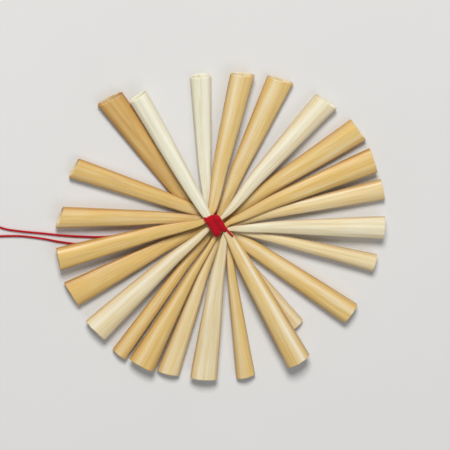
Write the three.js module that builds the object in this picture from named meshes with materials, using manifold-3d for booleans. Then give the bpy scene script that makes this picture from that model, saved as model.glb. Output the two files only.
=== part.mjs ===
// A sun star made of twelve whole straws, lying on its back with its red hanging thread spread out.
// Millimetres, +Z up. The star rests on z = 0 and the straws cross in the middle, one above the other,
// where a red thread binds them. Bearings are read like a compass: 0 degrees points along +Y, 90 along +X.

import * as THREE from 'three';
import { mergeVertices } from 'three/addons/utils/BufferGeometryUtils.js';
import Module from 'manifold-3d';

const wasm = await Module();
wasm.setup();

// ---- driving dimensions -------------------------------------------------------------------------

const WALL = 0.3; // thickness of a straw's wall
const PINCH_REACH = 4; // a straw is pinched narrow out to here, under and beside the thread
const PINCH_TURN = 2; // a ring of corners here rounds off the pinched stretch, which is bent
const PINCH_WIDTH = 0.6;
const PINCH_THICKNESS = 0.26;
const LAYER_PITCH = 0.32; // height from one straw to the next where they cross
const NECK_REACHES = [5.4, 7.8]; // rings of corners here round off the start of the taper
const HOLLOW_SHARE = 0.3; // the hollow of each tube starts at this share of its reach
const BELLY_SHARE = 0.6; // and a ring of corners here rounds off the rest of it
const FOOT = 4; // the last stretch of each tube is level, so that it lies flat
const SWELL = 0.8; // how a tube's height grows on its way out: 1 is a plain taper, less opens sooner
const TUBE_SIDES = 12;

const THREAD = 0.5; // diameter of the red thread
const THREAD_SIDES = 8;
const GAP = 0.1; // clearance between the thread and the straws
const TURNS = 8; // turns of thread that lie side by side over the crossing
const LASHING_REACH = 3.85; // how far out the thread goes down between the straws
const LASHING_DEPTH = 0.7; // the threads lie one outside the other there
const LASHING_THICKNESS = 0.26; // and are squeezed flat
const LASHING_BEARINGS = [296, 124]; // the two gaps that the thread goes down through
const LASHING_SHOULDERS = [[-0.1, 2.5], [0.1, -2.7]]; // the band's two other corners, on top
const PAD_SHOULDERS = [[0.4, 1.5], [-0.2, -1.5]]; // the same on the narrower underside

const LOWEST_STRAW = THREAD + GAP + PINCH_THICKNESS / 2; // middle of the lowest straw at the crossing

// The straws are tied as a sheaf and then fanned out to both sides of the thread, so most of them are
// bent where they are tied. Each straw gives two rays, and the pairs are for these two. bearing and
// reach: where the tip is. miss: how far to its right hand the ray's line passes the middle. width and
// fullness: the tip's width, and its height over its width. spread: how the width grows on the way out.
// lift: how high the tip rests. paleness: 0 golden, 1 cream. level is the straw's place in the stack
// where the straws cross.
const STRAWS = [
  {
    bearing: [353, 273], reach: [33, 33.5], miss: [-1.9, 0.8], width: [4.3, 4.6],
    fullness: [0.55, 0.52], spread: [0.48, 0.47], lift: [0, 0.6], paleness: [0.9, 0.4], level: 5,
  },
  {
    bearing: [8, 257.5], reach: [33.6, 34.5], miss: [-2.1, 1.7], width: [5.2, 5],
    fullness: [0.48, 0.5], spread: [0.47, 0.55], lift: [1.1, 1.4], paleness: [0.2, 0.1], level: 9,
  },
  {
    bearing: [22.5, 242], reach: [34, 34.5], miss: [0, 0.1], width: [5.8, 6],
    fullness: [0.42, 0.42], spread: [0.55, 0.66], lift: [0, 0], paleness: [0.2, 0], level: 2,
  },
  {
    bearing: [41, 226], reach: [35, 35.1], miss: [-0.3, 0.9], width: [5.6, 6],
    fullness: [0.46, 0.42], spread: [0.5, 0.6], lift: [0.4, 0.9], paleness: [1, 0.8], level: 8,
  },
  {
    bearing: [57, 213], reach: [36, 36.5], miss: [0.6, -0.6], width: [5.6, 3.5],
    fullness: [0.44, 0.5], spread: [0.7, 0.74], lift: [0, 0], paleness: [0.1, 0.2], level: 1,
  },
  {
    bearing: [69, 205], reach: [36, 36], miss: [0.6, -0.9], width: [5.6, 5.8],
    fullness: [0.44, 0.42], spread: [1, 0.96], lift: [0.9, 1.4], paleness: [0, 0.2], level: 7,
  },
  {
    bearing: [81, 194.5], reach: [36.5, 36.5], miss: [0.9, -1.4], width: [4.6, 4.7],
    fullness: [0.5, 0.48], spread: [1, 0.9], lift: [0, 0], paleness: [0.3, 0.3], level: 4,
  },
  {
    bearing: [94, 182.5], reach: [36.5, 36.4], miss: [0.6, -1.5], width: [5.2, 5.8],
    fullness: [0.46, 0.42], spread: [0.6, 0.6], lift: [1.4, 1.1], paleness: [0.9, 0.9], level: 10,
  },
  {
    bearing: [107.5, 168], reach: [36.5, 37.5], miss: [0.55, -1.7], width: [3.9, 4],
    fullness: [0.6, 0.58], spread: [0.63, 0.74], lift: [0.6, 0], paleness: [0.4, 0.3], level: 6,
  },
  {
    bearing: [127, 292.5], reach: [37.5, 33], miss: [0.5, 0.9], width: [4.9, 4.6],
    fullness: [0.62, 0.56], spread: [0.47, 0.47], lift: [0, 0], paleness: [0.2, 0.3], level: 3,
  },
  {
    bearing: [150, 329], reach: [37.5, 34], miss: [-1, -1], width: [5.4, 4.1],
    fullness: [0.66, 0.58], spread: [0.47, 0.47], lift: [1.7, 1.7], paleness: [0.2, 0.8], level: 11,
  },
  {
    bearing: [144.3, 320.5], reach: [31.5, 36.5], miss: [1.3, -2.5], width: [4.2, 5.6],
    fullness: [0.4, 0.45], spread: [0.47, 0.47], lift: [0, 0], paleness: [0.1, 0], level: 0,
  },
];

// The hanging thread's route on the surface: out under the star, round the loop and back.
const HANGING_ROUTE = [
  [-1.35, -0.95], [-4, -1.6], [-8, -2.45], [-14, -3.7], [-20, -4.85], [-25, -5.4], [-29.7, -5.05],
  [-33, -4.5], [-37, -3.6], [-41.5, -2.9], [-46, -2.8], [-50, -3.1], [-53.5, -3], [-56.2, -1.9],
  [-57.5, 0.1], [-56.8, 2.2], [-54.2, 3.1], [-51, 2.2], [-48, 0.3], [-45, -1.1], [-41.5, -1.8],
  [-37, -2.4], [-32.8, -3], [-28.5, -3.4], [-24, -3.65], [-19, -3.2], [-14, -2.3], [-8.5, -1.25],
  [-5, -0.65], [-2.1, -0.15],
];
const HANGING_STEPS = 80;

// ---- straws -------------------------------------------------------------------------------------

const NUDGE = 0.01; // a small step along a line, to read its direction
const radians = THREE.MathUtils.degToRad;
const toBearing = (degrees) => new THREE.Vector2(Math.sin(radians(degrees)), Math.cos(radians(degrees)));
const blend = (from, to, share) => from + (to - from) * share;

function rayOf(straw, end) {
  // What one ray of a straw needs: where its line runs, how long it is and the size of its open tip.
  const reach = straw.reach[end];
  const miss = straw.miss[end];
  const width = straw.width[end];
  const direction = toBearing(straw.bearing[end] - THREE.MathUtils.radToDeg(Math.asin(miss / reach)));
  return {
    direction,
    foot: new THREE.Vector2(direction.y, -direction.x).multiplyScalar(miss),
    length: Math.sqrt(reach ** 2 - miss ** 2),
    halfWidth: width / 2,
    halfHeight: (width * straw.fullness[end]) / 2,
    spread: straw.spread[end],
    lift: straw.lift[end],
    crossingHeight: LOWEST_STRAW + straw.level * LAYER_PITCH,
  };
}

function stationOf(ray, out) {
  // The section of a ray at a distance out from its foot: half its width, half its height, its place.
  const run = ray.length - FOOT - PINCH_REACH;
  const share = THREE.MathUtils.clamp((out - PINCH_REACH) / run, 0, 1);
  const tipHeight = ray.lift + ray.halfHeight;
  return {
    halfWidth: blend(PINCH_WIDTH / 2, ray.halfWidth, share ** ray.spread),
    halfHeight: blend(PINCH_THICKNESS / 2, ray.halfHeight, share ** SWELL),
    height: blend(ray.crossingHeight, tipHeight, share),
  };
}

const pointOn = (ray, out) => ray.foot.clone().addScaledVector(ray.direction, out);

function middleOf(rays, along) {
  // The straw's middle line in plan: two straight rays, and an even bend between them.
  const [first, second] = rays;
  if (Math.abs(along) >= PINCH_REACH) return pointOn(along > 0 ? first : second, Math.abs(along));
  const bend = new THREE.CubicBezierCurve(
    pointOn(second, PINCH_REACH),
    pointOn(second, PINCH_REACH / 3),
    pointOn(first, PINCH_REACH / 3),
    pointOn(first, PINCH_REACH),
  );
  return bend.getPoint((along / PINCH_REACH + 1) / 2);
}

const OUTER = 1; // radius of the outside in the turned shape, before it gets its real size
const INNER = 0.5; // and of the hollow

function strawProfile(rays) {
  // One side of the tube with a blind hollow from each end; y is the distance along the straw.
  const [first, second] = rays;
  const belly = (ray) => [ray.length * HOLLOW_SHARE, ray.length * BELLY_SHARE, ray.length - FOOT];
  const inside = (ray) => [...belly(ray), ray.length];
  const outside = (ray) => [PINCH_TURN, PINCH_REACH, ...NECK_REACHES, ...belly(ray)];
  const points = [
    [0, -second.length * HOLLOW_SHARE],
    ...inside(second).map((out) => [INNER, -out]),
    [OUTER, -second.length],
    ...outside(second).reverse().map((out) => [OUTER, -out]),
    [OUTER, 0],
    ...outside(first).map((out) => [OUTER, out]),
    [OUTER, first.length],
    ...inside(first).reverse().map((out) => [INNER, out]),
    [0, first.length * HOLLOW_SHARE],
  ];
  return points.map(([radius, along]) => new THREE.Vector2(radius, along));
}

function strawGeometry(straw) {
  // A turned tube whose rings are then flattened, sized and laid along the straw's middle line.
  const rays = [rayOf(straw, 0), rayOf(straw, 1)];
  const halfSide = Math.PI / TUBE_SIDES; // turned by this, a ring has a flat side below and above
  const geometry = new THREE.LatheGeometry(strawProfile(rays), TUBE_SIDES, halfSide);
  const place = geometry.attributes.position;
  for (let i = 0; i < place.count; i += 1) {
    const along = place.getY(i);
    const radius = Math.hypot(place.getX(i), place.getZ(i));
    const station = stationOf(along >= 0 ? rays[0] : rays[1], Math.abs(along));
    const wall = radius > (INNER + OUTER) / 2 ? 0 : WALL;
    const isOnRing = radius > INNER / 2;
    const across = isOnRing ? place.getX(i) / radius / Math.cos(halfSide) : 0;
    const up = isOnRing ? place.getZ(i) / radius / Math.cos(halfSide) : 0;
    const middle = middleOf(rays, along);
    const tangent = middleOf(rays, along + NUDGE).sub(middleOf(rays, along - NUDGE)).normalize();
    const sideways = across * (station.halfWidth - wall);
    place.setXYZ(
      i,
      middle.x + tangent.y * sideways,
      middle.y - tangent.x * sideways,
      station.height + up * (station.halfHeight - wall),
    );
  }
  geometry.computeVertexNormals();
  return geometry;
}

// ---- thread -------------------------------------------------------------------------------------

function solidOf(geometry) {
  const bare = geometry.clone();
  bare.deleteAttribute('normal');
  bare.deleteAttribute('uv');
  const merged = mergeVertices(bare, 1e-4);
  return new wasm.Manifold(new wasm.Mesh({
    numProp: 3,
    vertProperties: Float32Array.from(merged.attributes.position.array),
    triVerts: Uint32Array.from(merged.index.array),
  }));
}

function geometryOf(solid) {
  const mesh = solid.getMesh();
  const geometry = new THREE.BufferGeometry();
  geometry.setAttribute('position', new THREE.BufferAttribute(mesh.vertProperties, 3));
  geometry.setIndex(new THREE.BufferAttribute(mesh.triVerts, 1));
  geometry.computeVertexNormals();
  return geometry;
}

function turnOfThread(from, to, height) {
  // One straight stretch of thread from corner to corner of the lashing.
  const span = new THREE.Vector2().subVectors(to, from);
  const bar = new THREE.CylinderGeometry(THREAD / 2, THREAD / 2, span.length(), THREAD_SIDES);
  bar.rotateY(Math.PI / THREAD_SIDES);
  bar.rotateZ(span.angle() - Math.PI / 2);
  bar.translate((from.x + to.x) / 2, (from.y + to.y) / 2, height);
  return bar;
}

function drop(bearing, bottom, top) {
  // The squeezed thread that goes down between two straws.
  const out = toBearing(bearing).multiplyScalar(LASHING_REACH);
  const plate = new THREE.BoxGeometry(LASHING_THICKNESS, LASHING_DEPTH, top - bottom);
  plate.rotateZ(-radians(bearing));
  plate.translate(out.x, out.y, (top + bottom) / 2);
  return plate;
}

function lashingGeometry() {
  const [start, finish] = LASHING_BEARINGS.map((bearing) => toBearing(bearing).multiplyScalar(LASHING_REACH));
  const [headShoulder, tailShoulder] = LASHING_SHOULDERS.map(([x, y]) => new THREE.Vector2(x, y));
  const highestStraw = LOWEST_STRAW + (STRAWS.length - 1) * LAYER_PITCH + PINCH_THICKNESS / 2;
  const topHeight = highestStraw + GAP + THREAD / 2;

  const [headPad, tailPad] = PAD_SHOULDERS.map(([x, y]) => new THREE.Vector2(x, y));
  const pad = new THREE.Shape([start, tailPad, finish, headPad]);
  let solid = solidOf(new THREE.ExtrudeGeometry(pad, { depth: THREAD, bevelEnabled: false }));
  for (const bearing of LASHING_BEARINGS) {
    solid = solid.add(solidOf(drop(bearing, THREAD / 4, topHeight)));
  }
  for (let turn = 0; turn < TURNS; turn += 1) {
    const share = turn / (TURNS - 1);
    const from = start.clone().lerp(headShoulder, share);
    const to = tailShoulder.clone().lerp(finish, share);
    solid = solid.add(solidOf(turnOfThread(from, to, topHeight)));
  }
  return geometryOf(solid);
}

function hangingGeometry() {
  const height = THREAD / 2 + NUDGE;
  const route = new THREE.CatmullRomCurve3(
    HANGING_ROUTE.map(([x, y]) => new THREE.Vector3(x, y, height)),
    false,
    'centripetal',
  );
  const corners = Array.from({ length: THREAD_SIDES }, (_, side) => {
    const angle = (2 * Math.PI * side) / THREAD_SIDES;
    return new THREE.Vector2(Math.cos(angle), Math.sin(angle)).multiplyScalar(THREAD / 2);
  });
  return new THREE.ExtrudeGeometry(new THREE.Shape(corners), { steps: HANGING_STEPS, extrudePath: route });
}

// ---- the ornament -------------------------------------------------------------------------------

const GOLDEN = new THREE.Color(0xdfbb78);
const PALE = new THREE.Color(0xeae3c6);

function strawMaterial(straw) {
  const paleness = (straw.paleness[0] + straw.paleness[1]) / 2;
  const color = GOLDEN.clone().lerp(PALE, paleness);
  return new THREE.MeshStandardMaterial({ color, roughness: 0.5, metalness: 0 });
}

const redThread = new THREE.MeshStandardMaterial({ color: 0xb40f23, roughness: 0.85, metalness: 0 });

const star = new THREE.Group();
STRAWS.forEach((straw, i) => {
  const mesh = new THREE.Mesh(strawGeometry(straw), strawMaterial(straw));
  mesh.name = `straw_${String(i + 1).padStart(2, '0')}`;
  star.add(mesh);
});
const binding = new THREE.Mesh(lashingGeometry(), redThread);
binding.name = 'binding_thread';
star.add(binding);

// The origin is under the middle of the star, which the hanging thread doesn't count for.
const extent = new THREE.Box3().setFromObject(star, true);
const middle = extent.getCenter(new THREE.Vector3());
star.position.set(-middle.x, -middle.y, 0);

const hanging = new THREE.Mesh(hangingGeometry(), redThread);
hanging.name = 'hanging_thread';
star.add(hanging);

const ornament = new THREE.Group();
ornament.add(star);

export default ornament;
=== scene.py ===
"""A straw sun star tied with red thread, dressed for looking at: tubes, windings, loop, stage and camera."""

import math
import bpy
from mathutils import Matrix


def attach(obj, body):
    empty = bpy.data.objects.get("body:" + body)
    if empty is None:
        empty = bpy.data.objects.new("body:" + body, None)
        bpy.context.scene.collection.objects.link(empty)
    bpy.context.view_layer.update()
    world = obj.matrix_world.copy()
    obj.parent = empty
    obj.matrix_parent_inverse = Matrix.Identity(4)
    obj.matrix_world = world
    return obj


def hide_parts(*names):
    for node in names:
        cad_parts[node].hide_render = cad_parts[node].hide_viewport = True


bl_info = {
    "name": "Straw Sun Star",
    "version": (1, 0, 0),
    "blender": (4, 5, 0),
    "location": "3D View > Sidebar > Straw Star",
    "description": "Makes a sun star of whole straws, its red binding and its hanging loop",
    "category": "Add Mesh",
}

import bmesh
import bpy
from bpy.props import FloatProperty, FloatVectorProperty, IntProperty, PointerProperty
from mathutils import Matrix, Vector

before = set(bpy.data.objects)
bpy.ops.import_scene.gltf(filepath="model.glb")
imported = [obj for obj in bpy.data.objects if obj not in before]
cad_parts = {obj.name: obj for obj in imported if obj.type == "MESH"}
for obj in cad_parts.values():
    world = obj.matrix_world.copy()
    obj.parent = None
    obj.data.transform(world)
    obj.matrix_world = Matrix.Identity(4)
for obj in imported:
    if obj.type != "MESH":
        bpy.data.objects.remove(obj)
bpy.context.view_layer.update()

MM = 0.001
UP = Vector((0, 0, 1))

# ---- the star's driving sizes, in millimetres -----------------------------------------------------

CROSSING = Vector((-1.1034, 1.6061, 0))  # where the straws cross, seen from above
LAYER_PITCH = 0.32  # from the middle of one straw to the next above it, at the crossing
LOWEST_STRAW = 0.73  # how high the middle of the lowest straw is there
PINCH_REACH = 4  # a straw is flat this far out, and widens from half as far
PINCHED_HALF = 0.13  # half the thickness of a straw where it is flat
FOOT = 4  # over this last stretch a ray has its final height
CREASE_REACH = 9  # the folds and the extra painted shade on the sides of the pinched middle end this far out
BLEND_SPAN = 12  # one ray's looks give way to the other's over this length
MARK_RISE = 4  # a ray's marks grow over this length, from half of it out
TIP_REACH = 1.5  # how far in a tip's slanting and ragged cut reaches

# Each straw has two rays, and all but level is a pair, one value for each. level is the straw's place in
# the stack. bearing is clockwise from +Y; reach, where the tip is; miss, how far to its right hand the
# ray's line passes the crossing. fullness is height over width at the tip; lift, how high the tip's
# underside is; slant, how obliquely it is cut; spread, how soon the tube opens (less is sooner); waist,
# its width at the crossing. paleness runs from gold at 0 to cream at about 1. gleam is a painted
# highlight, a bright band along one side, on the other side where it is negative; ribbed, cross ribs;
# tan, how far the straw has browned, and on the lowest straw also painted shade for lying under the
# others. Those three are left out where both rays have none.
STRAWS = [
    dict(bearing=(353, 273), reach=(33, 33.5), miss=(-1.9, 0.8), width=(4.4, 4.8), level=5,
         fullness=(0.55, 0.52), lift=(0, 0.6), slant=(0.02, 0.3), spread=(0.65, 0.6), waist=(1, 1),
         paleness=(1.35, 0.15), gleam=(-0.95, 0), tan=(0, 0.14)),
    dict(bearing=(8, 257.5), reach=(33.6, 34.5), miss=(-2.1, 1.7), width=(5.2, 5.2), level=9,
         fullness=(0.48, 0.5), lift=(1.1, 1.4), slant=(0.13, 0.08), spread=(0.6, 0.65), waist=(1.35, 1),
         paleness=(0.15, 0), gleam=(0.5, 0), tan=(0, 0.1)),
    dict(bearing=(22.5, 242), reach=(34, 34.5), miss=(0, 0.1), width=(5.9, 6.3), level=2,
         fullness=(0.42, 0.42), lift=(0, 0), slant=(0.08, -0.06), spread=(0.7, 0.85), waist=(1.35, 1),
         paleness=(0.15, 0), gleam=(0.45, 0), ribbed=(1, 0), tan=(0, 0.14)),
    dict(bearing=(41, 226), reach=(35, 35.1), miss=(-0.3, 0.9), width=(5.7, 6.2), level=8,
         fullness=(0.46, 0.42), lift=(0.4, 0.9), slant=(0.1, 0.03), spread=(0.66, 0.8), waist=(1, 1),
         paleness=(0.8, 0.62), gleam=(0.75, 0.85)),
    dict(bearing=(57, 213), reach=(36, 36.5), miss=(0.6, -0.6), width=(5.8, 3.7), level=1,
         fullness=(0.44, 0.6), lift=(0, 0), slant=(0.04, 0.1), spread=(0.7, 0.62), waist=(1.25, 1),
         paleness=(0.13, 0.03), gleam=(0, 0.3), tan=(0.02, 0.12)),
    dict(bearing=(69, 205), reach=(36, 36), miss=(0.6, -0.9), width=(5.8, 6.2), level=7,
         fullness=(0.44, 0.42), lift=(0.9, 1.4), slant=(-0.05, 0.08), spread=(0.8, 1.25), waist=(1.2, 0.9),
         paleness=(0.1, -0.02), gleam=(0, 0.4), tan=(0.09, 0.1)),
    dict(bearing=(81, 194.5), reach=(36.5, 36.5), miss=(0.9, -1.4), width=(4.8, 4.9), level=4,
         fullness=(0.5, 0.48), lift=(0, 0), slant=(0.03, -0.04), spread=(0.85, 0.92), waist=(1.15, 0.95),
         paleness=(0.35, 0.3), gleam=(0, 0.5)),
    dict(bearing=(94, 182.5), reach=(36.5, 36.4), miss=(0.6, -1.5), width=(5.2, 5.9), level=10,
         fullness=(0.46, 0.42), lift=(1.4, 1.1), slant=(0.02, 0.02), spread=(0.75, 0.7), waist=(0.9, 1),
         paleness=(0.78, 0.55), gleam=(0, 0.35)),
    dict(bearing=(107.5, 168), reach=(36.5, 37.5), miss=(0.55, -1.7), width=(4, 4.1), level=6,
         fullness=(0.6, 0.58), lift=(0.6, 0), slant=(0.05, -0.06), spread=(0.85, 0.95), waist=(0.8, 0.8),
         paleness=(0.5, 0.15), gleam=(0, 0.35)),
    dict(bearing=(127, 292.5), reach=(37.5, 33), miss=(0.5, 0.9), width=(5.1, 4.7), level=3,
         fullness=(0.62, 0.5), lift=(0, 0), slant=(0.02, 0.1), spread=(0.42, 0.45), waist=(1, 1),
         paleness=(0.08, 0.1), gleam=(0.55, 0), tan=(0.02, 0.16)),
    dict(bearing=(150, 329), reach=(37.5, 34), miss=(-1, -1), width=(5.5, 4.2), level=11,
         fullness=(0.66, 0.58), lift=(1.62, 1.7), slant=(0.04, -0.1), spread=(0.48, 0.42), waist=(1, 1),
         paleness=(0.15, 1.15), gleam=(1, 0.9)),
    # the lowest straw's tan is mostly painted shade, for lying under the others
    dict(bearing=(144.3, 320.5), reach=(31.5, 36.5), miss=(1.3, -2.5), width=(4.2, 5.8), level=0,
         fullness=(0.4, 0.45), lift=(0, 0), slant=(0.1, 0.15), spread=(0.6, 0.45), waist=(1, 1),
         paleness=(0.6, 0), tan=(0.1, 0.4)),
]
MARKS = ("gleam", "ribbed", "tan")
PULL = Vector((0.32, -0.35, 0))  # the thread draws the middles of the straws this way
PULL_REACHES = (4, 14)  # all of it as far out as the first, none of it beyond the second

# The hanging thread's route on the surface: out under the star, round the loop and back.
HANGING_ROUTE = [
    (-1.35, -0.95), (-4, -1.6), (-8, -2.45), (-14, -3.7), (-20, -4.85), (-25, -5.4), (-29.7, -5.05),
    (-33, -4.5), (-37, -3.6), (-41.5, -2.9), (-46, -2.8), (-50, -3.1), (-53.5, -3), (-56.2, -1.9),
    (-57.5, 0.1), (-56.8, 2.2), (-54.2, 3.1), (-51, 2.2), (-48, 0.3), (-45, -1.1), (-41.5, -1.8),
    (-37, -2.4), (-32.8, -3), (-28.5, -3.4), (-24, -3.65), (-19, -3.2), (-14, -2.3), (-8.5, -1.25),
    (-5, -0.65), (-2.1, -0.15),
]
HANGING_HEIGHT = 0.26

# The binding's turns lie over the crossing in two bundles side by side. Each turn runs from its head to
# its tail, and goes down beside the stack of straws at both ends.
TURNS = [
    ((-2.8, 1.62), (-0.55, -2.05)), ((-2.48, 1.68), (-0.28, -2.2)), ((-2.16, 1.78), (0, -2.18)),
    ((-1.88, 1.84), (0.24, -2)), ((-1.6, 1.96), (0.48, -1.75)), ((-1.3, 2.12), (0.76, -1.56)),
    ((-1, 2.22), (1.04, -1.5)), ((-0.7, 2.28), (1.3, -1.46)), ((-0.4, 2.3), (1.56, -1.36)),
    ((-0.12, 2.28), (1.78, -1.2)), ((0.12, 2.2), (1.95, -1.02)),
]
TURN_LIFTS = (0, 0.08, 0.13, 0.1, 0.02, -0.1, 0, 0.1, 0.13, 0.07, 0)
BAND_HEIGHT = 4.7
HEAD_GAPS = ((-2.75, 1.5), (-1.8, 1.75), (0, 1.4))  # where the thread goes down at the turns' heads
TAIL_GAPS = ((0, -2.85), (2.3, -1.5))  # and at their tails
UNDERSIDE_PITCH = Vector((0.25, 0.14, 0))  # from one turn to the next, under the star
GAP_HEIGHTS = (3.6, 2)  # the thread is plumb in a gap between these heights
LOOSE_END = ((2.3, -1.4, 4.75), (2.65, -1.8, 4.78), (3, -2.2, 4.76), (3.35, -2.6, 4.6))
THREAD_STEP = 0.0002  # metres from point to point along a thread
PATH_STRIDE = 5  # a coarser path along the hanging thread keeps one in so many of those points
PLY_SIDES = 8

# ---- the picture ----------------------------------------------------------------------------------

AIM_HEIGHT = 4.96  # millimetres, about the height of the binding's top
AIM_SHIFT = (1.55, 0.2)  # millimetres to the right and up in the picture
SENSOR = 36  # millimetres across
FLOOR_HALF = 1.5  # metres from the floor's middle to its side
FLOOR_DROP = 0.0001  # metres from the resting surface down to the floor
# A lamp's name, its place and width in metres, and its power in watts.
LAMPS = (("window", (-0.2, 1, 1.05), 0.45, 19.5), ("fill", (0.5, -0.5, 1.3), 1.2, 3.5))
ROOM_COLOR = (0.95, 0.97, 1, 1)
ROOM_STRENGTH = 0.2


# ---- settings -------------------------------------------------------------------------------------


class StrawSettings(bpy.types.PropertyGroup):
    """Sizes and colours of the straws."""

    wall: FloatProperty(name="Wall", description="Thickness of a straw's wall", default=0.00028,
                        min=0.0001, subtype="DISTANCE", unit="LENGTH")
    waist: FloatProperty(name="Waist", description="How wide the straws stay where they are tied",
                         default=1, min=0.2, subtype="FACTOR")
    sides: IntProperty(name="Sides", description="Faces round one tube", default=40, min=12)
    step: FloatProperty(name="Step", description="Length of one ring of faces", default=0.0007,
                        min=0.0002, subtype="DISTANCE", unit="LENGTH")
    dent: FloatProperty(name="Dents", description="How uneven the tube is", default=0.07, subtype="FACTOR")
    fray: FloatProperty(name="Fray", description="How ragged the cut tips are", default=0.00022,
                        subtype="DISTANCE", unit="LENGTH")
    gold: FloatVectorProperty(name="Gold", description="Colour of ripe straw", size=4, subtype="COLOR",
                              default=(0.76, 0.52, 0.165, 1), min=0, max=1)
    cream: FloatVectorProperty(name="Cream", description="Colour of pale straw", size=4, subtype="COLOR",
                               default=(0.83, 0.8, 0.61, 1), min=0, max=1)
    # the colour of the painted highlights, the bright bands along some rays
    bloom: FloatVectorProperty(name="Highlight", description="Colour of the bright streaks", size=4,
                               subtype="COLOR", default=(0.93, 0.89, 0.76, 1), min=0, max=1)
    # amber is the darker fibres' own colour, and also the colour of the painted shade on the straws' sides
    # and on the lowest straw
    amber: FloatVectorProperty(name="Amber", description="Colour of the darker fibres and edges", size=4,
                               subtype="COLOR", default=(0.45, 0.21, 0.05, 1), min=0, max=1)


class ThreadSettings(bpy.types.PropertyGroup):
    """Sizes and colours of the red thread."""

    diameter: FloatProperty(name="Diameter", description="Thickness of the thread", default=0.0005,
                            min=0.0002, subtype="DISTANCE", unit="LENGTH")
    lay: FloatProperty(name="Lay", description="Length of one twist of the plies", default=0.0016,
                       min=0.0004, subtype="DISTANCE", unit="LENGTH")
    plies: IntProperty(name="Plies", description="Strands twisted together", default=3, min=3)
    crimson: FloatVectorProperty(name="Crimson", description="Colour of the thread", size=4,
                                 subtype="COLOR", default=(0.63, 0.003, 0.016, 1), min=0, max=1)
    # the colour of the painted shade in the grooves between the plies
    shadow: FloatVectorProperty(name="Shadow", description="Colour between the fibres", size=4,
                                subtype="COLOR", default=(0.3, 0.001, 0.008, 1), min=0, max=1)


class StageSettings(bpy.types.PropertyGroup):
    """The floor, the lights and the camera."""

    floor: FloatVectorProperty(name="Floor", description="Colour of the surface", size=4,
                               subtype="COLOR", default=(0.78, 0.77, 0.75, 1), min=0, max=1)
    lens: FloatProperty(name="Lens", description="Focal length", default=465.5, min=20, unit="CAMERA")
    distance: FloatProperty(name="Distance", description="Camera to the star's middle", default=1.235,
                            subtype="DISTANCE", unit="LENGTH")
    tilt: FloatProperty(name="Tilt", description="Camera off the vertical", default=math.radians(24),
                        subtype="ANGLE", unit="ROTATION")
    bearing: FloatProperty(name="Bearing", description="Side that the camera leans to",
                           default=math.radians(-22), subtype="ANGLE", unit="ROTATION")
    light: FloatProperty(name="Light", description="Strength of the lamps", default=1, min=0)


# ---- node trees -----------------------------------------------------------------------------------


class Wire:
    """A number on a socket. Sums between wires and numbers each add a Math node."""

    def __init__(self, net, socket):
        self.net, self.socket = net, socket

    def join(self, operation, *values):
        return self.net.join(operation, *values)

    def __add__(self, other):
        return self.join("ADD", self, other)

    def __sub__(self, other):
        return self.join("SUBTRACT", self, other)

    def __rsub__(self, other):
        return self.join("SUBTRACT", other, self)

    def __mul__(self, other):
        return self.join("MULTIPLY", self, other)

    def __truediv__(self, other):
        return self.join("DIVIDE", self, other)

    def __pow__(self, other):
        return self.join("POWER", self, other)

    __radd__ = __add__
    __rmul__ = __mul__

    def sine(self):
        return self.join("SINE", self)

    def cosine(self):
        return self.join("COSINE", self)

    def size(self):
        return self.join("ABSOLUTE", self)


class Made:
    """A node in a net; made[name] is one of its outputs."""

    def __init__(self, net, node):
        self.net, self.node = net, node

    def __getitem__(self, key):
        return Wire(self.net, self.node.outputs[key])


class Net:
    """A node tree that is being built."""

    def __init__(self, tree):
        self.tree = tree

    def add(self, kind, settings=None, values=None):
        node = self.tree.nodes.new(kind)
        for name, value in (settings or {}).items():
            if name == "stops":
                self.fill_ramp(node.color_ramp, value)
            else:
                setattr(node, name, value)
        for key, value in (values or {}).items():
            if isinstance(value, Wire):
                self.tree.links.new(value.socket, node.inputs[key])
            else:
                node.inputs[key].default_value = value
        return Made(self, node)

    @staticmethod
    def fill_ramp(ramp, stops):
        while len(ramp.elements) < len(stops):
            ramp.elements.new(1)
        for element, (place, color) in zip(ramp.elements, stops):
            element.position, element.color = place, color

    def join(self, operation, *values):
        return self.add("ShaderNodeMath", {"operation": operation}, dict(enumerate(values)))[0]

    def clamped(self, operation, *values):
        settings = {"operation": operation, "use_clamp": True}
        return self.add("ShaderNodeMath", settings, dict(enumerate(values)))[0]

    def mix(self, share, first, second):
        values = {0: share, 6: first, 7: second}
        return self.add("ShaderNodeMix", {"data_type": "RGBA"}, values)[2]

    def vector(self, operation, *values):
        return self.add("ShaderNodeVectorMath", {"operation": operation}, dict(enumerate(values)))[0]

    def stretch(self, vector, length):
        return self.add("ShaderNodeVectorMath", {"operation": "SCALE"}, {0: vector, "Scale": length})[0]

    def xyz(self, x, y, z):
        return self.add("ShaderNodeCombineXYZ", None, {0: x, 1: y, 2: z})[0]

    def attribute(self, name, kind="FLOAT"):
        return self.add("GeometryNodeInputNamedAttribute", {"data_type": kind}, {"Name": name})[0]

    def store(self, geometry, name, value, kind="FLOAT"):
        settings = {"data_type": kind, "domain": "POINT"}
        values = {"Geometry": geometry, "Name": name, "Value": value}
        return self.add("GeometryNodeStoreNamedAttribute", settings, values)[0]

    def noise(self, vector, scale, detail=2, roughness=0.5):
        values = {"Vector": vector, "Scale": scale, "Detail": detail, "Roughness": roughness}
        return self.add("ShaderNodeTexNoise", None, values)[0]


def new_tree(name, inputs):
    """An empty Geometry Nodes tree with a geometry in and out and these further inputs."""
    tree = bpy.data.node_groups.new(name, "GeometryNodeTree")
    tree.is_modifier = True
    tree.interface.new_socket("Geometry", in_out="OUTPUT", socket_type="NodeSocketGeometry")
    tree.interface.new_socket("Line", in_out="INPUT", socket_type="NodeSocketGeometry")
    for label, kind in inputs:
        tree.interface.new_socket(label, in_out="INPUT", socket_type=kind)
    net = Net(tree)
    return net, net.add("NodeGroupInput")


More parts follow.
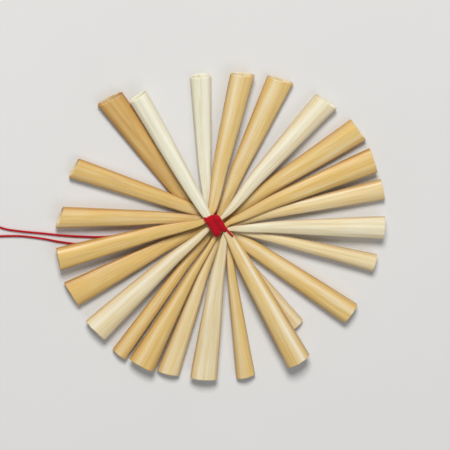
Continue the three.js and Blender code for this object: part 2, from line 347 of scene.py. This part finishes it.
def finish_tree(net, geometry, material):
    """Ends a tree: smooth faces, no instances left, and its material."""
    smooth = net.add("GeometryNodeSetShadeSmooth", None, {"Geometry": geometry})[0]
    whole = net.add("GeometryNodeRealizeInstances", None, {"Geometry": smooth})[0]
    painted = net.add("GeometryNodeSetMaterial", None, {"Geometry": whole, "Material": material})[0]
    net.add("NodeGroupOutput", None, {0: painted})
    return net.tree


def tube_tree():
    """Sweeps a flattened ring along a straw's line, out of its hollow, over its length and back in."""
    net, given = new_tree("Straw Tube", [
        ("Sides", "NodeSocketInt"),
        ("Dent", "NodeSocketFloat"),
        ("Fray", "NodeSocketFloat"),
        ("Seed", "NodeSocketFloat"),
        ("Material", "NodeSocketMaterial"),
    ])
    position = net.add("GeometryNodeInputPosition")[0]
    line = net.store(given["Line"], "centre", position, "FLOAT_VECTOR")
    spine = net.add("GeometryNodeMeshToCurve", None, {"Mesh": line})[0]
    ring = net.add("GeometryNodeCurvePrimitiveCircle", None, {"Resolution": given["Sides"]})[0]
    index = net.add("GeometryNodeInputIndex")[0]
    ring = net.store(ring, "around", index * (2 * math.pi) / given["Sides"])
    sweep = {"Curve": spine, "Profile Curve": ring, "Fill Caps": True}
    tube = net.add("GeometryNodeCurveToMesh", None, sweep)[0]

    around = net.attribute("around")
    across, up = around.cosine(), around.sine()
    along = net.attribute("along")
    half_width, half_height = net.attribute("half_width"), net.attribute("half_height")
    flat_top = net.join("SIGN", up) * up.size() ** 0.88
    place = net.xyz(across, up, along * 70 + given["Seed"])
    dents = net.noise(place, 1.1, 1) - 0.5
    creases = net.noise(net.xyz(across * 2.4, up * 1.5, along * 25 + given["Seed"] * 2), 1.2, 1) - 0.5
    folds = net.noise(net.xyz(across * 4, up * 2, along * 60 + given["Seed"] * 3), 1.4, 1) - 0.5
    uneven = dents * 1.5 + creases * 4 + folds * net.attribute("pinched") * 5
    wide = across * half_width * (dents * given["Dent"] + 1)
    high = flat_top * half_height * (uneven * given["Dent"] + 1)
    ragged = net.noise(net.xyz(across * 6, up * 6, given["Seed"]), 1, 3, 0.7) - 0.5
    cut = net.attribute("tip") * (across * half_width * net.attribute("slant") + ragged * given["Fray"] * 2)
    place = net.vector("ADD", net.attribute("centre", "FLOAT_VECTOR"),
                       net.stretch(net.attribute("side", "FLOAT_VECTOR"), wide))
    place = net.vector("ADD", place, net.xyz(0, 0, high))
    place = net.vector("ADD", place, net.stretch(net.attribute("heading", "FLOAT_VECTOR"), cut))
    grain = net.xyz(across * net.attribute("breadth"), up * half_height, along + given["Seed"] * 0.01)
    tube = net.store(tube, "grain", grain, "FLOAT_VECTOR")
    tube = net.store(tube, "across", across)
    tube = net.add("GeometryNodeSetPosition", None, {"Geometry": tube, "Position": place})[0]
    return finish_tree(net, tube, given["Material"])


def thread_tree():
    """Sweeps twisted plies along a line."""
    net, given = new_tree("Twisted Thread", [
        ("Diameter", "NodeSocketFloat"),
        ("Lay", "NodeSocketFloat"),
        ("Plies", "NodeSocketInt"),
        ("Material", "NodeSocketMaterial"),
    ])
    spine = net.add("GeometryNodeMeshToCurve", None, {"Mesh": given["Line"]})[0]
    length = net.add("GeometryNodeSplineParameter")["Length"]
    turned = {"Curve": spine, "Tilt": length * (2 * math.pi) / given["Lay"]}
    spine = net.add("GeometryNodeSetCurveTilt", None, turned)[0]
    spine = net.store(spine, "along", length)
    radius = given["Diameter"] * 0.25
    core = {"Resolution": given["Plies"], "Radius": radius}
    core = net.add("GeometryNodeCurvePrimitiveCircle", None, core)[0]
    ply = {"Resolution": PLY_SIDES, "Radius": radius}
    ply = net.add("GeometryNodeCurvePrimitiveCircle", None, ply)[0]
    index = net.add("GeometryNodeInputIndex")[0]
    ply = net.store(ply, "around", index * (2 * math.pi / PLY_SIDES))
    plies = net.add("GeometryNodeInstanceOnPoints", None, {"Points": core, "Instance": ply})[0]
    plies = net.add("GeometryNodeRealizeInstances", None, {"Geometry": plies})[0]
    from_middle = net.add("ShaderNodeVectorMath", {"operation": "LENGTH"},
                          {0: net.add("GeometryNodeInputPosition")[0]})["Value"]
    # how far out from the thread's middle; the finish paints shade where this is low
    plies = net.store(plies, "depth", from_middle / given["Diameter"] * 2)
    sweep = {"Curve": spine, "Profile Curve": plies, "Fill Caps": True}
    thread = net.add("GeometryNodeCurveToMesh", None, sweep)[0]
    around, along = net.attribute("around"), net.attribute("along")
    grain = net.xyz(around.cosine() * radius, around.sine() * radius, along)
    thread = net.store(thread, "grain", grain, "FLOAT_VECTOR")
    return finish_tree(net, thread, given["Material"])


def grown(name, line, tree, values):
    """Runs a tree on a line of points and turns the result into a plain mesh with outward faces."""
    seedling = bpy.data.objects.new(name + "_line", line)
    bpy.context.scene.collection.objects.link(seedling)
    modifier = seedling.modifiers.new(tree.name, "NODES")
    modifier.node_group = tree
    for item in tree.interface.items_tree:
        if item.in_out == "INPUT" and item.name in values:
            modifier[item.identifier] = values[item.name]
    shown = seedling.evaluated_get(bpy.context.evaluated_depsgraph_get())
    mesh = bpy.data.meshes.new_from_object(shown)
    seedling.modifiers.clear()
    bpy.data.objects.remove(seedling)
    bpy.data.meshes.remove(line)
    shell = bmesh.new()
    shell.from_mesh(mesh)
    bmesh.ops.remove_doubles(shell, verts=shell.verts, dist=1e-7)
    bmesh.ops.recalc_face_normals(shell, faces=shell.faces)
    shell.to_mesh(mesh)
    shell.free()
    mesh.name = name
    piece = bpy.data.objects.new(name, mesh)
    bpy.context.scene.collection.objects.link(piece)
    return piece


def line_of(name, points, floats=None, vectors=None):
    """A chain of edges with a number or a vector kept at each point."""
    mesh = bpy.data.meshes.new(name)
    mesh.from_pydata(points, [(i, i + 1) for i in range(len(points) - 1)], [])
    for label, values in (floats or {}).items():
        mesh.attributes.new(label, "FLOAT", "POINT").data.foreach_set("value", values)
    for label, values in (vectors or {}).items():
        flat = [number for value in values for number in value]
        mesh.attributes.new(label, "FLOAT_VECTOR", "POINT").data.foreach_set("vector", flat)
    return mesh


# ---- finishes -------------------------------------------------------------------------------------


def new_material(name, values):
    """A material with these fixed values on its shader, and its net."""
    material = bpy.data.materials.new(name)
    material.use_nodes = True
    net = Net(material.node_tree)
    shader = net.tree.nodes["Principled BSDF"]
    for key, value in values.items():
        shader.inputs[key].default_value = value
    return material, net, shader


def straw_finish(settings):
    """Dry straw: fine fibres lengthwise, from gold to cream, with painted amber shade on the sides, painted
    highlights along some rays and a soft gloss.
    """
    values = {"Coat Weight": 0.1, "Coat Roughness": 0.28, "Specular IOR Level": 0.4}
    material, net, shader = new_material("Dry Straw", values)
    grain = net.add("ShaderNodeAttribute", {"attribute_name": "grain"})["Vector"]
    paleness, inner, across, pinched, gleam, ribbed, tan = (
        net.add("ShaderNodeAttribute", {"attribute_name": name})["Fac"]
        for name in ("paleness", "inner", "across", "pinched", *MARKS))
    lengthwise = net.vector("MULTIPLY", grain, (1, 1, 0.02))
    fibres = net.noise(lengthwise, 7000, 3, 0.6)
    streaks = net.noise(lengthwise, 1500, 2, 0.5)
    grooves = net.noise(net.vector("ADD", lengthwise, (3, 5, 7)), 2600, 1, 0.5)
    ribs = net.noise(net.vector("MULTIPLY", grain, (0.15, 0.15, 1)), 1900, 2, 0.5)
    clouds = net.noise(grain, 130, 2, 0.5)
    uneven = paleness * 0.92 + (clouds - 0.5) * 0.4 + (streaks - 0.5) * 0.9
    pale = net.clamped("ADD", uneven, inner * 0.5)
    color = net.mix(pale, tuple(settings.gold), tuple(settings.cream))
    # painted shade: both sides of each tube darken towards amber, most at the pinched middle and more on
    # gold straws than on pale ones
    sides = across.size() ** 5 * (pinched + 0.55) * (1.3 - paleness * 0.75)
    # the fibres and grooves are the straw's own darker grain; tan is browning, and on the lowest straw
    # painted shade
    dark = sides + (fibres - 0.42) * 0.5 + (grooves - 0.5) * 0.65 + tan
    dark = net.clamped("MULTIPLY", dark, 1.0)
    color = net.mix(dark, color, tuple(settings.amber))
    # painted highlight: a soft bright band along one side of the ray, in the highlight colour, as strong as
    # gleam
    from_streak = (across + net.join("SIGN", gleam) * 0.4).size()
    streak = net.clamped("SUBTRACT", 1.0, from_streak * 2.4)
    color = net.mix(streak ** 1.4 * gleam.size() * 0.7, color, tuple(settings.bloom))
    relief = fibres * 0.7 + streaks * 0.5 + ribs * (ribbed * 1.6 + 0.2)
    bump = {"Strength": 0.6, "Distance": 0.00006, "Height": relief}
    bump = net.add("ShaderNodeBump", None, bump)[0]
    roughness = fibres * 0.25 + 0.3 + inner * 0.2
    net.tree.links.new(color.socket, shader.inputs["Base Color"])
    net.tree.links.new(roughness.socket, shader.inputs["Roughness"])
    net.tree.links.new(bump.socket, shader.inputs["Normal"])
    return material


def thread_finish(settings):
    """Twisted cotton: fine fibres along each ply, painted shade in the grooves between the plies, with a
    dull sheen.
    """
    values = {"Sheen Weight": 0.15, "Sheen Roughness": 0.5, "Sheen Tint": (1, 0.25, 0.3, 1),
              "Specular IOR Level": 0.2}
    material, net, shader = new_material("Red Cotton", values)
    grain = net.add("ShaderNodeAttribute", {"attribute_name": "grain"})["Vector"]
    depth = net.add("ShaderNodeAttribute", {"attribute_name": "depth"})["Fac"]
    fibres = net.noise(net.vector("MULTIPLY", grain, (1, 1, 0.12)), 16000, 2, 0.6)
    fluff = net.noise(grain, 2500, 2, 0.6)
    # painted shade: the plies darken towards the shadow colour where they turn in towards the thread's
    # middle, with the fibres' own unevenness on top
    light = net.clamped("MULTIPLY", depth ** 2, fibres * 0.7 + fluff * 0.5 + 0.25)
    color = net.mix(light, tuple(settings.shadow), tuple(settings.crimson))
    bump = {"Strength": 0.7, "Distance": 0.00005, "Height": fibres + fluff * 0.4}
    bump = net.add("ShaderNodeBump", None, bump)[0]
    roughness = fluff * 0.25 + 0.62
    net.tree.links.new(color.socket, shader.inputs["Base Color"])
    net.tree.links.new(roughness.socket, shader.inputs["Roughness"])
    net.tree.links.new(bump.socket, shader.inputs["Normal"])
    return material


def floor_finish(settings):
    """Matt pale board with the faintest cloudiness."""
    material, net, shader = new_material("Pale Board", {"Specular IOR Level": 0.2})
    place = net.add("ShaderNodeTexCoord")["Object"]
    clouds = net.noise(place, 18, 3, 0.5)
    base = tuple(settings.floor)
    deep = tuple(part * 0.94 for part in base[:3]) + (1,)
    color = net.mix(clouds, deep, base)
    net.tree.links.new(color.socket, shader.inputs["Base Color"])
    net.tree.links.new((clouds * 0.1 + 0.75).socket, shader.inputs["Roughness"])
    return material


# ---- straws ---------------------------------------------------------------------------------------


def clamp(value):
    """The value, held between 0 and 1."""
    return min(max(value, 0), 1)


def blend(first, second, share):
    """A value between two, at a share of the way."""
    return first + (second - first) * share


class Ray:
    """One side of a straw, from the crossing out to an open tip. Millimetres."""

    def __init__(self, straw, end):
        reach, miss, width = straw["reach"][end], straw["miss"][end], straw["width"][end]
        angle = math.radians(straw["bearing"][end]) - math.asin(miss / reach)
        self.direction = Vector((math.sin(angle), math.cos(angle), 0))
        self.foot = Vector((self.direction.y, -self.direction.x, 0)) * miss
        self.length = math.sqrt(reach**2 - miss**2)
        self.half_width = width / 2
        self.half_height = width * straw["fullness"][end] / 2
        self.lift = straw["lift"][end]
        self.crossing_height = LOWEST_STRAW + straw["level"] * LAYER_PITCH
        self.paleness, self.slant = straw["paleness"][end], straw["slant"][end]
        self.spread, self.waist = straw["spread"][end], straw["waist"][end]
        self.marks = {mark: straw.get(mark, (0, 0))[end] for mark in MARKS}

    def point(self, out):
        start, end = PULL_REACHES
        share = clamp((out - start) / (end - start))
        return self.foot + self.direction * out + PULL * (1 - share * share * (3 - 2 * share))

    def section(self, out, waist):
        """Half the width, half the height and the height of the middle at a distance from the foot."""
        share = clamp((out - PINCH_REACH) / (self.length - FOOT - PINCH_REACH))
        opening = clamp((out - PINCH_REACH / 2) / (self.length - PINCH_REACH / 2))
        height = blend(self.crossing_height, self.lift + self.half_height, share)
        half_width = blend(self.waist * waist / 2, self.half_width, opening**self.spread)
        return half_width, blend(PINCHED_HALF, self.half_height, share**0.8), height


def middle_line(rays, along):
    """A straw's middle in plan: two straight rays and an even bend between them."""
    first, second = rays
    if abs(along) >= PINCH_REACH:
        return (first if along > 0 else second).point(abs(along))
    share = (along / PINCH_REACH + 1) / 2
    a, b = second.point(PINCH_REACH), second.point(PINCH_REACH / 3)
    c, d = first.point(PINCH_REACH / 3), first.point(PINCH_REACH)
    rest = 1 - share
    return a * rest**3 + b * 3 * rest**2 * share + c * 3 * rest * share**2 + d * share**3


def spaced(start, end, step):
    """Distances from start to end, both included, about a step apart."""
    count = max(1, round(abs(end - start) / step))
    return [blend(start, end, i / count) for i in range(count + 1)]


def straw_line(straw, settings):
    """The points that the ring is swept along, with what each needs: in one tip, out and in the other."""
    rays = Ray(straw, 0), Ray(straw, 1)
    first, second = rays
    wall, waist = settings.wall / MM, settings.waist
    step = settings.step / MM
    rim = 0.05  # how far in the rounded lip of the wall reaches
    hollow = 0.35  # the share of a ray at which its inside begins
    start, end = -second.length, first.length
    stations = [(along, 1) for along in spaced(start * hollow, start + 4 * rim, 2 * step)]
    stations += [(start + rim, 1), (start, 0.8), (start, 0.2), (start + rim, 0)]
    stations += [(along, 0) for along in spaced(start + 3 * rim, end - 3 * rim, step)]
    stations += [(end - rim, 0), (end, 0.2), (end, 0.8), (end - rim, 1)]
    stations += [(along, 1) for along in spaced(end - 4 * rim, end * hollow, 2 * step)]
    points = []
    floats = {key: [] for key in
              ("half_width", "half_height", "breadth", "along", "inner", "tip", "slant", "paleness",
               "pinched", *MARKS)}
    vectors = {"side": [], "heading": []}
    for along, inside in stations:
        ray = first if along >= 0 else second
        out = abs(along)
        half_width, half_height, height = ray.section(out, waist)
        ahead = middle_line(rays, along + 0.01) - middle_line(rays, along - 0.01)
        ahead.normalize()
        middle = middle_line(rays, along)
        points.append((CROSSING + middle + UP * height) * MM)
        floats["half_width"].append((half_width - wall * inside) * MM)
        floats["half_height"].append(max(half_height - wall * inside, 0.03) * MM)
        share = clamp(along / BLEND_SPAN + 0.5)
        floats["breadth"].append(blend(second.half_width, first.half_width, share) * MM)
        floats["along"].append(along * MM)
        floats["inner"].append(inside)
        floats["tip"].append(clamp(1 - (ray.length - out) / TIP_REACH))
        floats["slant"].append(ray.slant)
        floats["paleness"].append(blend(second.paleness, first.paleness, share))
        # pinched drives the folds and the extra painted shade on the sides near the crossing
        floats["pinched"].append(clamp(1 - out / CREASE_REACH) ** 2)
        # gleam is a painted highlight; tan is browning, and on the lowest straw painted shade
        for mark, strength in ray.marks.items():
            floats[mark].append(strength * clamp(out / MARK_RISE - 0.5))
        vectors["side"].append(Vector((ahead.y, -ahead.x, 0)))
        vectors["heading"].append(ray.direction)
    return line_of("straw_line", points, floats, vectors)


class ORNAMENT_OT_straws(bpy.types.Operator):
    """Makes the twelve straws"""

    bl_idname = "ornament.straws"
    bl_label = "Make Straws"

    def execute(self, context):
        settings = context.scene.straw_settings
        tree = tube_tree()
        material = straw_finish(settings)
        for number, straw in enumerate(STRAWS, 1):
            node = f"straw_{number:02d}"
            values = {"Sides": settings.sides, "Dent": settings.dent, "Fray": settings.fray,
                      "Seed": number * 3.7, "Material": material}
            piece = grown(f"{node}_tube", straw_line(straw, settings), tree, values)
            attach(piece, "root")
            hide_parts(node)
        return {"FINISHED"}


# ---- thread ---------------------------------------------------------------------------------------


def smooth_line(points, step):
    """An even curve through the points: a centripetal Catmull-Rom line, cut in steps."""
    points = [Vector(point) for point in points]
    points = [points[0] * 2 - points[1], *points, points[-1] * 2 - points[-2]]
    line = []
    for a, b, c, d in zip(points, points[1:], points[2:], points[3:]):
        t0 = 0
        t1 = t0 + (b - a).length ** 0.5
        t2 = t1 + (c - b).length ** 0.5
        t3 = t2 + (d - c).length ** 0.5
        count = max(1, round((c - b).length / step))
        for i in range(count):
            t = blend(t1, t2, i / count)
            ab = a.lerp(b, (t - t0) / (t1 - t0))
            bc = b.lerp(c, (t - t1) / (t2 - t1))
            cd = c.lerp(d, (t - t2) / (t3 - t2))
            abc = ab.lerp(bc, (t - t0) / (t2 - t0))
            bcd = bc.lerp(cd, (t - t1) / (t3 - t1))
            line.append(abc.lerp(bcd, (t - t1) / (t2 - t1)))
    return [*line, points[-2]]


def thread_values(settings, material):
    """What the thread's tree is given."""
    return {"Diameter": settings.diameter, "Lay": settings.lay, "Plies": settings.plies,
            "Material": material}


def red_cotton(settings):
    """The thread's finish, made once."""
    return bpy.data.materials.get("Red Cotton") or thread_finish(settings)


def twisted_thread():
    """The thread's tree, made once."""
    return bpy.data.node_groups.get("Twisted Thread") or thread_tree()


class ORNAMENT_OT_hanging_thread(bpy.types.Operator):
    """Makes the loop of thread that the star hangs by"""

    bl_idname = "ornament.hanging_thread"
    bl_label = "Make Hanging Thread"

    def execute(self, context):
        settings = context.scene.thread_settings
        route = [(CROSSING + Vector((x, y, HANGING_HEIGHT))) * MM for x, y in HANGING_ROUTE]
        line = smooth_line(route, THREAD_STEP)
        path = line[::PATH_STRIDE] + [line[-1]]
        length = sum((b - a).length for a, b in zip(path, path[1:]))
        values = thread_values(settings, red_cotton(settings))
        piece = grown("hanging_loop", line_of("hanging_line", line), twisted_thread(), values)
        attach(piece, "root")
        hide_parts("hanging_thread")
        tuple(path[0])
        return {"FINISHED"}


def nearest(place, gaps):
    """The gap that is nearest to a place."""
    return min((Vector(gap).to_3d() for gap in gaps), key=lambda gap: (gap - place).length)


def descent(gap, beside):
    """The thread's way down through a gap, from top to bottom, and in under the star."""
    high, low = GAP_HEIGHTS
    return [gap + UP * high, gap + UP * low, gap * 0.8 + beside * 0.5 + UP * 0.7,
            gap * 0.35 + beside + UP * 0.27]


def binding_route():
    """The thread's way over the crossing, down through the gaps, underneath and up again, turn by turn."""
    route = []
    for number, ((head, tail), lift) in enumerate(zip(TURNS, TURN_LIFTS)):
        head, tail = Vector(head).to_3d(), Vector(tail).to_3d()
        up, down = nearest(head, HEAD_GAPS), nearest(tail, TAIL_GAPS)
        beside = UNDERSIDE_PITCH * (number - len(TURNS) / 2 + 0.5)
        top = UP * (BAND_HEIGHT + lift)
        route += [
            *reversed(descent(up, beside)),
            up.lerp(head, 0.8) + UP * 4.4,
            head.lerp(tail, 0.13) + top - UP * 0.02,
            head.lerp(tail, 0.5) + top + UP * 0.04,
            head.lerp(tail, 0.87) + top - UP * 0.02,
            down.lerp(tail, 0.65) + UP * 4.45,
            *descent(down, beside),
        ]
    # the last turn ends on top, in the loose end, and not in its five points down and under
    route = route[:-5] + [Vector(place) for place in LOOSE_END]
    return [(CROSSING + place) * MM for place in route]


class ORNAMENT_OT_binding(bpy.types.Operator):
    """Winds the thread over the crossing"""

    bl_idname = "ornament.binding"
    bl_label = "Wind Binding"

    def execute(self, context):
        settings = context.scene.thread_settings
        line = smooth_line(binding_route(), THREAD_STEP)
        for point in line:
            point.z = max(point.z, settings.diameter / 2)
        values = thread_values(settings, red_cotton(settings))
        piece = grown("binding_winding", line_of("binding_line", line), twisted_thread(), values)
        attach(piece, "root")
        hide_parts("binding_thread")
        return {"FINISHED"}


# ---- stage ----------------------------------------------------------------------------------------


def camera_axes(settings):
    """The camera's right, up and back directions."""
    lean = Vector((math.sin(settings.bearing), math.cos(settings.bearing), 0))
    side = Vector((lean.y, -lean.x, 0))
    rise = lean * math.cos(settings.tilt) - UP * math.sin(settings.tilt)
    right = side * math.cos(settings.bearing) + rise * math.sin(settings.bearing)
    top = rise * math.cos(settings.bearing) - side * math.sin(settings.bearing)
    return right, top, right.cross(top)


class ORNAMENT_OT_camera(bpy.types.Operator):
    """Places the camera"""

    bl_idname = "ornament.camera"
    bl_label = "Place Camera"

    def execute(self, context):
        settings = context.scene.stage_settings
        right, top, back = camera_axes(settings)
        data = bpy.data.cameras.new("camera")
        data.lens, data.sensor_width = settings.lens, SENSOR
        data.clip_start, data.clip_end = 0.05, 20
        camera = bpy.data.objects.new("camera", data)
        context.scene.collection.objects.link(camera)
        aim = (CROSSING + UP * AIM_HEIGHT + right * AIM_SHIFT[0] + top * AIM_SHIFT[1]) * MM
        turn = Matrix((right, top, back)).transposed().to_4x4()
        camera.matrix_world = Matrix.Translation(aim + back * settings.distance) @ turn
        context.scene.camera = camera
        return {"FINISHED"}


def lamp(name, place, size, power):
    """A round soft lamp that points at the star."""
    data = bpy.data.lights.new(name, "AREA")
    data.shape, data.size, data.energy = "DISK", size, power
    light = bpy.data.objects.new(name, data)
    bpy.context.scene.collection.objects.link(light)
    light.location = place
    light.rotation_euler = (-Vector(place)).to_track_quat("-Z", "Y").to_euler()


class ORNAMENT_OT_stage(bpy.types.Operator):
    """Lays the floor and sets the lamps"""

    bl_idname = "ornament.stage"
    bl_label = "Set Stage"

    def execute(self, context):
        settings = context.scene.stage_settings
        board = bmesh.new()
        bmesh.ops.create_grid(board, x_segments=8, y_segments=8, size=FLOOR_HALF)
        bmesh.ops.translate(board, verts=board.verts, vec=(0, 0, -FLOOR_DROP))
        mesh = bpy.data.meshes.new("floor_board")
        board.to_mesh(mesh)
        board.free()
        floor = bpy.data.objects.new("floor_board", mesh)
        context.scene.collection.objects.link(floor)
        mesh.materials.append(floor_finish(settings))
        for name, place, size, power in LAMPS:
            lamp(name, place, size, power * settings.light)
        world = bpy.data.worlds.new("soft_room")
        world.use_nodes = True
        sky = world.node_tree.nodes["Background"].inputs
        sky["Color"].default_value = ROOM_COLOR
        sky["Strength"].default_value = ROOM_STRENGTH
        context.scene.world = world
        context.scene.view_settings.view_transform = "Standard"
        return {"FINISHED"}


class ORNAMENT_PT_panel(bpy.types.Panel):
    """Lists the star's settings and steps"""

    bl_idname = "ORNAMENT_PT_panel"
    bl_label = "Straw Star"
    bl_space_type = "VIEW_3D"
    bl_region_type = "UI"
    bl_category = "Straw Star"

    def draw(self, context):
        for label, settings in (("Straws", context.scene.straw_settings),
                                ("Thread", context.scene.thread_settings),
                                ("Stage", context.scene.stage_settings)):
            box = self.layout.box()
            box.label(text=label)
            for name in settings.bl_rna.properties.keys():
                if name not in ("rna_type", "name"):
                    box.prop(settings, name)
        for operator in OPERATORS:
            self.layout.operator(operator.bl_idname)


OPERATORS = (
    ORNAMENT_OT_camera,
    ORNAMENT_OT_hanging_thread,
    ORNAMENT_OT_straws,
    ORNAMENT_OT_binding,
    ORNAMENT_OT_stage,
)
SETTINGS = {
    "straw_settings": StrawSettings,
    "thread_settings": ThreadSettings,
    "stage_settings": StageSettings,
}


def register():
    for made in (*SETTINGS.values(), *OPERATORS, ORNAMENT_PT_panel):
        bpy.utils.register_class(made)
    for name, kind in SETTINGS.items():
        setattr(bpy.types.Scene, name, PointerProperty(type=kind))


def unregister():
    for name in SETTINGS:
        delattr(bpy.types.Scene, name)
    for made in reversed((*SETTINGS.values(), *OPERATORS, ORNAMENT_PT_panel)):
        bpy.utils.unregister_class(made)


def main():
    register()
    bpy.ops.ornament.camera()
    bpy.ops.ornament.hanging_thread()
    bpy.ops.ornament.straws()
    bpy.ops.ornament.binding()
    bpy.ops.ornament.stage()


if __name__ == "__main__":
    main()
